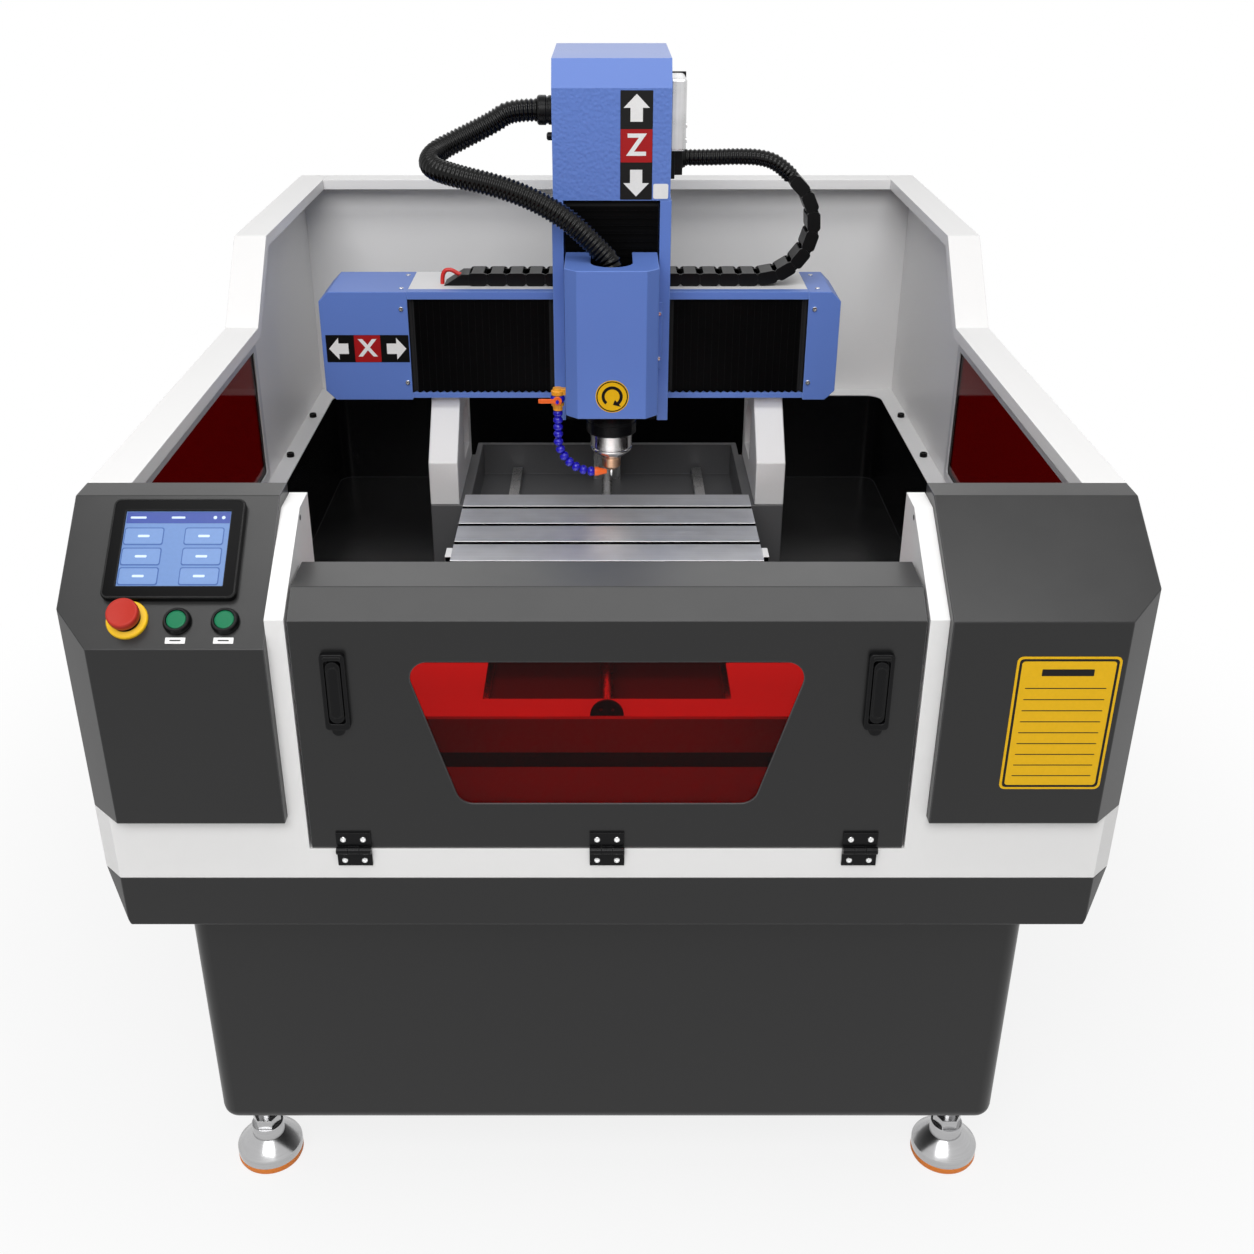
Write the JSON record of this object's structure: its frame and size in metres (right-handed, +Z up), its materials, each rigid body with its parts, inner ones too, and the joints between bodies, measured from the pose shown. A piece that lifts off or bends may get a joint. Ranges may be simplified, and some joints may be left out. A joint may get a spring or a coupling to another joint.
{
  "type": "metal engraving machine",
  "caption": "Enclosed bench-height CNC engraving machine with a slotted moving table, fixed bridge, spindle head, drip tray, sloping consoles and a drop-down windowed front door.",
  "frame": {"origin": "on the floor under the centre of the body", "axes": "+Z up, +Y from the front door to the back wall, +X to the right seen from the front"},
  "size_m": [1.3, 1.665, 1.517],
  "materials": {
    "white_paint": "satin",
    "white_iron": "painted satin",
    "grey_paint": "fine texture",
    "case_steel": "satin",
    "black_paint": "satin",
    "grey_iron": "painted satin",
    "blue_paint": "hammered",
    "steel": "ground",
    "aluminium": "milled",
    "motor_black": "satin",
    "bellows_cloth": "matte",
    "black_plastic": "matte",
    "conduit_rubber": "satin",
    "wire_red": "satin",
    "chrome": "polished",
    "orange_rubber": "matte",
    "red_acrylic": "polished",
    "screen": "gloss",
    "stop_red": "gloss",
    "button_green": "gloss",
    "coolant_blue": "gloss",
    "lever_orange": "gloss"
  },
  "bodies": {
    "frame": {"base_cabinet": "grey_paint", "control_unit": "case_steel", "foot_pads": "orange_rubber", "foot_cups": "chrome", "lower_skirt": "grey_paint", "front_frame": "white_paint", "left_side_wall": "white_paint", "right_side_wall": "white_paint", "back_wall": "white_paint", "side_windows": "red_acrylic", "drip_tray": "black_paint", "tray_rim": "white_paint", "left_console": "grey_paint", "right_console": "grey_paint", "screen_bezel": "black_plastic", "screen_display": "screen", "button_bezels": "black_plastic", "machine_bed": "grey_iron", "gantry_legs": "white_iron", "x_beam": "grey_iron", "beam_covers": "blue_paint", "guide_rails": "steel", "screw_bearings": "steel", "axis_motors": "motor_black", "x_bellows_left": "bellows_cloth", "x_bellows_right": "bellows_cloth", "drag_chain": "black_plastic", "chain_conduit": "conduit_rubber", "chain_wires": "wire_red", "hinge_frame_leaves": "black_paint"},
    "x_screw_body": {"x_screw": "steel"},
    "y_screw_body": {"y_screw": "steel"},
    "z_screw_body": {"z_screw": "steel"},
    "table": {"work_table": "aluminium", "table_saddle": "steel"},
    "carriage": {"x_saddle": "steel", "z_column": "blue_paint", "z_motor_hood": "blue_paint", "z_motor": "motor_black", "cable_fittings": "black_plastic", "z_bellows_upper": "bellows_cloth", "z_bellows_lower": "bellows_cloth", "spindle_conduit": "conduit_rubber"},
    "spindle_head": {"z_slide": "steel", "spindle_cover": "blue_paint", "spindle_body": "steel", "coolant_fittings": "coolant_blue", "coolant_hose": "coolant_blue"},
    "spindle": {"spindle_shaft": "steel", "cutter": "steel"},
    "door": {"door_panel": "grey_paint", "door_window": "red_acrylic", "hinge_door_leaves": "black_paint", "latch_bodies": "black_paint"},
    "left_latch": {"left_latch_lever": "black_paint"},
    "right_latch": {"right_latch_lever": "black_paint"},
    "estop": {"estop_button": "stop_red"},
    "start": {"start_button": "button_green"},
    "stop": {"stop_button": "button_green"},
    "coolant_valve": {"valve_lever": "lever_orange"}
  },
  "joints": [
    {"name": "door_hinge", "type": "hinge", "parent": "frame", "child": "door", "pos_m": [0, -0.823, 0.6825], "axis": [1, 0, 0], "range_deg": [0, 170]},
    {"name": "left_latch_flip", "type": "hinge", "parent": "door", "child": "left_latch", "pos_m": [-0.324, -0.8225, 0.9515], "axis": [-1, 0, 0], "range_deg": [0, 35]},
    {"name": "right_latch_flip", "type": "hinge", "parent": "door", "child": "right_latch", "pos_m": [0.324, -0.8225, 0.9515], "axis": [-1, 0, 0], "range_deg": [0, 35]},
    {"name": "y_slide", "type": "slide", "parent": "frame", "child": "table", "axis": [0, 1, 0], "range_m": [-0.12, 0.44]},
    {"name": "y_screw_turn", "type": "hinge", "parent": "frame", "child": "y_screw_body", "pos_m": [0, 0, 0.688], "axis": [0, 1, 0], "range_deg": [-4400, 15900]},
    {"name": "x_slide", "type": "slide", "parent": "frame", "child": "carriage", "axis": [1, 0, 0], "range_m": [-0.2, 0.2], "deforming": ["x_bellows_left", "x_bellows_right", "drag_chain", "chain_conduit"]},
    {"name": "x_screw_turn", "type": "hinge", "parent": "frame", "child": "x_screw_body", "pos_m": [0, 0.3545, 1.0075], "axis": [1, 0, 0], "range_deg": [-7300, 7300]},
    {"name": "z_slide", "type": "slide", "parent": "carriage", "child": "spindle_head", "axis": [0, 0, 1], "range_m": [-0.03, 0.08], "deforming": ["z_bellows_upper", "z_bellows_lower", "spindle_conduit"]},
    {"name": "z_screw_turn", "type": "hinge", "parent": "carriage", "child": "z_screw_body", "pos_m": [0.008, 0.2585, 1], "axis": [0, 0, 1], "range_deg": [-2200, 5800]},
    {"name": "spindle_spin", "type": "hinge", "parent": "spindle_head", "child": "spindle", "pos_m": [0.008, 0.1525, 0.85], "axis": [0, 0, 1], "continuous": true},
    {"name": "coolant_valve_turn", "type": "hinge", "parent": "spindle_head", "child": "coolant_valve", "pos_m": [-0.0875, 0.1225, 0.965], "axis": [0, 1, 0], "range_deg": [0, 90]},
    {"name": "estop_press", "type": "slide", "parent": "frame", "child": "estop", "axis": [0, 0.6277, -0.7785], "range_m": [0, 0.005], "stiffness_N_per_m": 800},
    {"name": "start_press", "type": "slide", "parent": "frame", "child": "start", "axis": [0, 0.6277, -0.7785], "range_m": [0, 0.003], "stiffness_N_per_m": 500},
    {"name": "stop_press", "type": "slide", "parent": "frame", "child": "stop", "axis": [0, 0.6277, -0.7785], "range_m": [0, 0.003], "stiffness_N_per_m": 500}
  ],
  "couplings": [
    {"joint": "y_screw_turn", "follows": "y_slide", "rad_per_m": 628.32},
    {"joint": "x_screw_turn", "follows": "x_slide", "rad_per_m": 628.32},
    {"joint": "z_screw_turn", "follows": "z_slide", "rad_per_m": 1256.6}
  ]
}
